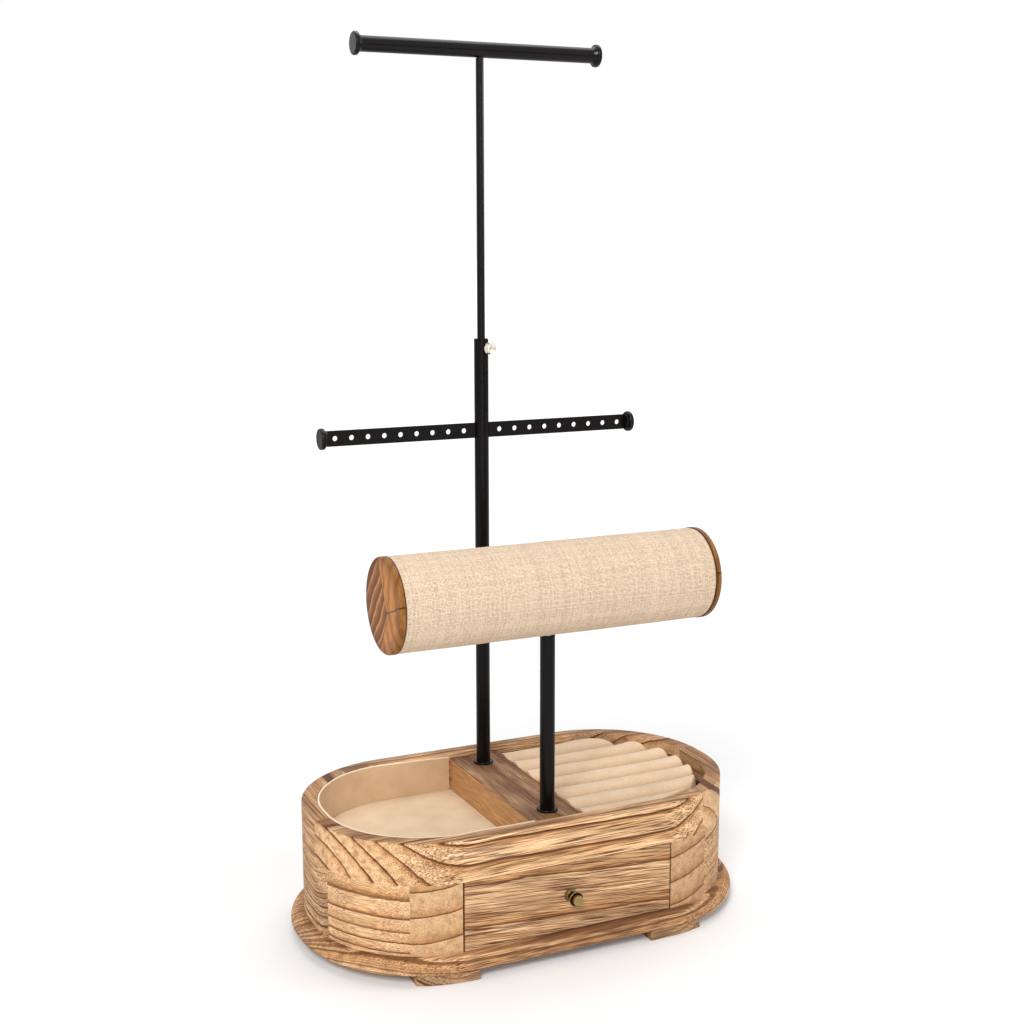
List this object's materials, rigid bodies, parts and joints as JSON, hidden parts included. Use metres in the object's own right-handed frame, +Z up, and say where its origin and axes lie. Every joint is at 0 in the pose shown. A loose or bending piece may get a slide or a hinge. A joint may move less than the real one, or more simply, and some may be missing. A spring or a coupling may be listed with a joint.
{
  "type": "jewellery stand with drawer",
  "caption": "Wooden jewellery box with a drawer, an open tray and a ring pad, under a telescopic necklace bar, a perforated earring bar and a linen bracelet roll.",
  "frame": {"origin": "on the surface that the stand rests on, under the middle of the box", "axes": "+X to the right seen from the drawer's side, +Y to the back, +Z up; the drawer opens to -Y"},
  "size_m": [0.318, 0.1882, 0.5961],
  "materials": {
    "burnt_wood": "burnt and brushed light wood, dark growth lines, matt",
    "inner_wood": "plain light wood, sanded",
    "panel_board": "thin plywood panel, matt",
    "varnished_wood": "striped wood under clear satin varnish",
    "suede_lining": "short napped suede cloth, matt",
    "velvet": "cream velvet over foam",
    "linen": "plain woven linen with slubs",
    "cardboard": "wound cardboard tube",
    "black_metal": "black powder coat, satin",
    "antique_brass": "antiqued brass, satin",
    "pale_brass": "bright knurled brass",
    "zinc_steel": "zinc plated",
    "nylon": "moulded nylon, matt"
  },
  "bodies": {
    "stand": {"base_plate": "burnt_wood", "foot_front_left": "burnt_wood", "foot_front_right": "burnt_wood", "foot_back_left": "burnt_wood", "foot_back_right": "burnt_wood", "stile_left": "burnt_wood", "stile_right": "burnt_wood", "corner_front_left": "burnt_wood", "corner_front_right": "burnt_wood", "corner_back_left": "burnt_wood", "corner_back_right": "burnt_wood", "end_block_left": "burnt_wood", "end_block_right": "burnt_wood", "back_board": "burnt_wood", "top_front_board": "burnt_wood", "top_back_board": "burnt_wood", "top_left_block": "burnt_wood", "top_right_block": "burnt_wood", "divider_bar": "burnt_wood", "drawer_guide_left": "inner_wood", "drawer_guide_right": "inner_wood", "tray_floor": "panel_board", "ring_pad_board": "panel_board", "tray_wall_lining": "suede_lining", "tray_floor_pad": "suede_lining", "ring_pad_rolls": "velvet", "mast_tube": "black_metal", "mast_flange": "black_metal", "thumb_screw_boss": "black_metal", "earring_bar_left": "black_metal", "earring_bar_right": "black_metal", "earring_cap_left": "black_metal", "earring_cap_right": "black_metal", "post_tube": "black_metal", "post_flange": "black_metal", "pole_plugs": "zinc_steel", "pole_bolts": "zinc_steel", "post_stud": "zinc_steel", "mast_bush": "nylon"},
    "drawer": {"drawer_front": "burnt_wood", "drawer_side_left": "inner_wood", "drawer_side_right": "inner_wood", "drawer_back": "inner_wood", "drawer_bottom": "panel_board", "drawer_lining": "suede_lining", "drawer_knob": "antique_brass", "drawer_knob_screw": "zinc_steel"},
    "upper_rod": {"upper_rod": "black_metal"},
    "necklace_bar": {"necklace_bar": "black_metal", "necklace_bar_hub": "zinc_steel", "necklace_cap_left": "black_metal", "necklace_cap_right": "black_metal"},
    "bracelet_roll": {"linen_cover": "linen", "roll_core": "cardboard", "roll_block": "inner_wood", "roll_insert": "zinc_steel", "roll_cap_left": "varnished_wood", "roll_cap_right": "varnished_wood"},
    "thumb_screw": {"thumb_screw": "pale_brass"}
  },
  "joints": [
    {"name": "drawer_slide", "type": "slide", "parent": "stand", "child": "drawer", "axis": [0, -1, 0], "range_m": [0, 0.11]},
    {"name": "mast_slide", "type": "slide", "parent": "stand", "child": "upper_rod", "axis": [0, 0, 1], "range_m": [-0.186, 0]},
    {"name": "necklace_bar_swivel", "type": "hinge", "parent": "upper_rod", "child": "necklace_bar", "pos_m": [0, 0.0552, 0.5885], "axis": [0, 0, 1], "continuous": true},
    {"name": "roll_swivel", "type": "hinge", "parent": "stand", "child": "bracelet_roll", "pos_m": [0, -0.0492, 0.2396], "axis": [0, 0, 1], "range_deg": [-68, 68]},
    {"name": "thumb_screw_turn", "type": "hinge", "parent": "stand", "child": "thumb_screw", "pos_m": [0, 0.0552, 0.3888], "axis": [0.342, -0.9397, 0], "range_deg": [0, 360]}
  ]
}
